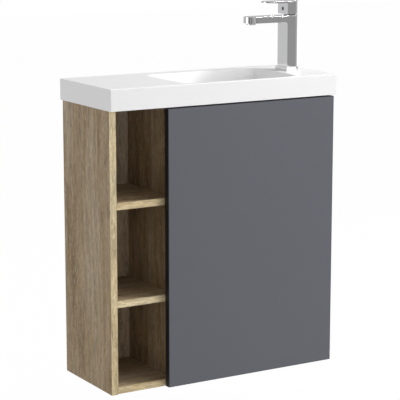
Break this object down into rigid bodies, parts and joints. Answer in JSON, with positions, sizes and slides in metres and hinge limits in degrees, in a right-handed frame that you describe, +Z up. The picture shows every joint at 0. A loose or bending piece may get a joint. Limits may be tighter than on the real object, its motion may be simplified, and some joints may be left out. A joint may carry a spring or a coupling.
{
  "type": "vanity unit with basin",
  "caption": "Narrow wall-hung vanity unit: white basin with side faucet on an oak carcass with open shelf niche and one dark hinged door.",
  "frame": {"origin": "under the middle of the basin, at the height of the cabinet's underside", "axes": "+X towards the cupboard and the faucet, +Y towards the wall, +Z up; the door is on the -Y side"},
  "size_m": [0.6, 0.2476, 0.8588],
  "materials": {
    "oak_board": "satin oak decor",
    "oak_edge": "satin pale oak edging",
    "beech": "plain beech",
    "zinc": "cast zinc, dull",
    "steel": "zinc plated",
    "brass": "raw brass",
    "white_plastic": "matt white",
    "dark_front": "satin anthracite lacquer",
    "black_edge": "matt black",
    "clear_bumper": "translucent",
    "ceramic": "glossy white",
    "black_rubber": "matt black",
    "chrome": "polished",
    "grey_plastic": "matt grey",
    "brass_stem": "raw brass",
    "index_grey": "satin grey"
  },
  "bodies": {
    "cabinet": {"left_side_panel": "oak_board", "right_side_panel": "oak_board", "partition_panel": "oak_board", "bottom_panel": "oak_board", "niche_back_panel": "oak_board", "niche_shelf_lower": "oak_board", "niche_shelf_upper": "oak_board", "cupboard_shelf": "oak_board", "upper_back_rail": "oak_board", "lower_back_rail": "oak_board", "board_edge_bands": "oak_edge", "wood_dowels": "beech", "cam_housings": "zinc", "hinge_mounting_plates": "zinc", "cam_bolts": "steel", "shelf_pins": "steel", "hanger_hooks": "steel", "hanger_screws": "steel", "wall_rail": "steel", "hinge_arms": "steel", "hinge_plate_screws": "steel", "hinge_arm_screws": "steel", "faucet_stud": "steel", "stud_steel_plate": "steel", "stud_nut": "brass", "waste_backnut": "brass", "hanger_bodies": "white_plastic", "trap_inlet_tube": "white_plastic", "trap_inlet_nut": "white_plastic", "trap_body": "white_plastic", "trap_neck_nut": "white_plastic", "trap_cup": "white_plastic", "trap_outlet_nut": "white_plastic", "trap_outlet_pipe": "white_plastic", "basin": "ceramic", "waste_upper_gasket": "black_rubber", "waste_lower_gasket": "black_rubber", "trap_cup_seal": "black_rubber", "trap_neck_seal": "black_rubber", "trap_outlet_seal": "black_rubber", "stud_rubber_washer": "black_rubber", "cartridge_nut": "chrome", "waste_body": "chrome", "faucet_body": "chrome", "faucet_base_plate": "chrome", "aerator_housing": "chrome", "aerator_insert": "grey_plastic", "cartridge_body": "grey_plastic"},
    "door": {"door_panel": "dark_front", "door_edge_band": "black_edge", "door_bumpers": "clear_bumper", "hinge_cups": "steel", "hinge_cup_screws": "steel", "hinge_links": "steel"},
    "cartridge_rotor": {"cartridge_rotor": "grey_plastic"},
    "lever": {"lever_handle": "chrome", "index_plug": "index_grey", "cartridge_stem": "brass_stem"},
    "plug": {"waste_plug": "chrome", "waste_plug_seal": "black_rubber"}
  },
  "joints": [
    {"name": "door_hinge", "type": "hinge", "parent": "cabinet", "child": "door", "pos_m": [0.286, -0.11515, 0.322], "axis": [0, 0, 1], "range_deg": [0, 100]},
    {"name": "lever_turn", "type": "hinge", "parent": "cabinet", "child": "cartridge_rotor", "pos_m": [0.251, 0.004, 0.8285], "axis": [0, 0, 1], "range_deg": [-45, 45]},
    {"name": "lever_lift", "type": "hinge", "parent": "cartridge_rotor", "child": "lever", "pos_m": [0.254, 0.004, 0.834], "axis": [0, 1, 0], "range_deg": [0, 15]},
    {"name": "plug_click", "type": "slide", "parent": "cabinet", "child": "plug", "axis": [0, 0, 1], "range_m": [0, 0.008]}
  ]
}
